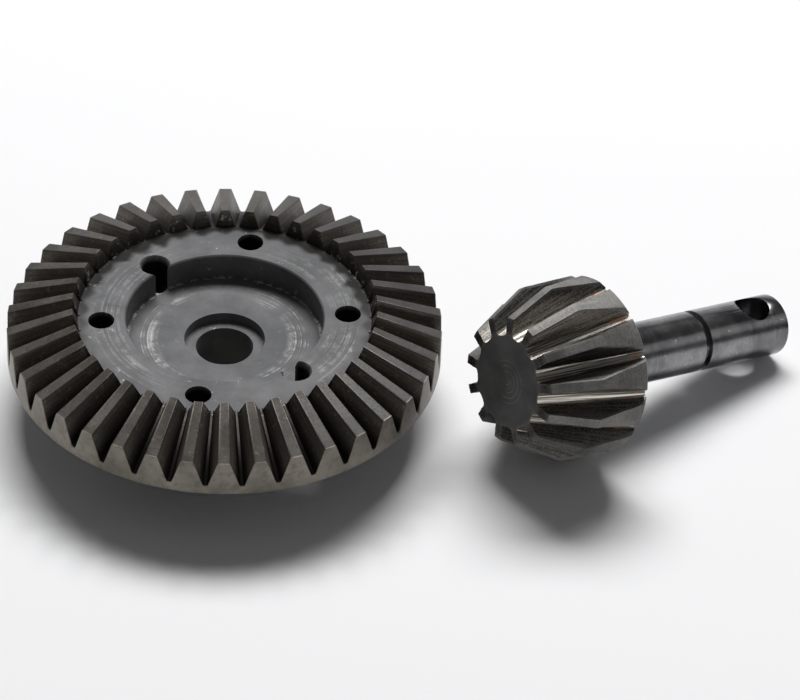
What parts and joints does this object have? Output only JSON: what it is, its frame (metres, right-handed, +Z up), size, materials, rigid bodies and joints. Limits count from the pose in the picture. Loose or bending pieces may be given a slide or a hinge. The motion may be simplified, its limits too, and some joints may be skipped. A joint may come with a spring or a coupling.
{
  "type": "bevel gear pair",
  "caption": "Straight-tooth bevel ring gear with a recessed web and back hub, and its mating bevel pinion with an integral shaft, for crossed shafts.",
  "frame": {"origin": "under the middle of the pair's bounding box, on the surface that both gears stand on", "axes": "+Z up along the ring gear's axis, out of its toothed side; +X from the ring gear towards the pinion; the pinion's axis points to +X and +Y and dips to its shaft end"},
  "size_m": [0.0638, 0.035, 0.0149],
  "materials": {
    "ring_steel": "satin machined steel, faint turning marks, light scratches, darker oiled tooth gaps",
    "pinion_steel": "dark oxide machined steel, glossy ground shaft, matt black front face, small rust specks at the heel"
  },
  "bodies": {
    "ring_gear": {"ring_gear": "ring_steel"},
    "pinion": {"pinion": "pinion_steel"}
  },
  "joints": [
    {"name": "pinion_spin", "type": "hinge", "parent": "ring_gear", "child": "pinion", "pos_m": [0.00817, -0.0081, 0.00898], "axis": [0.7896, 0.5674, -0.2337], "continuous": true}
  ]
}
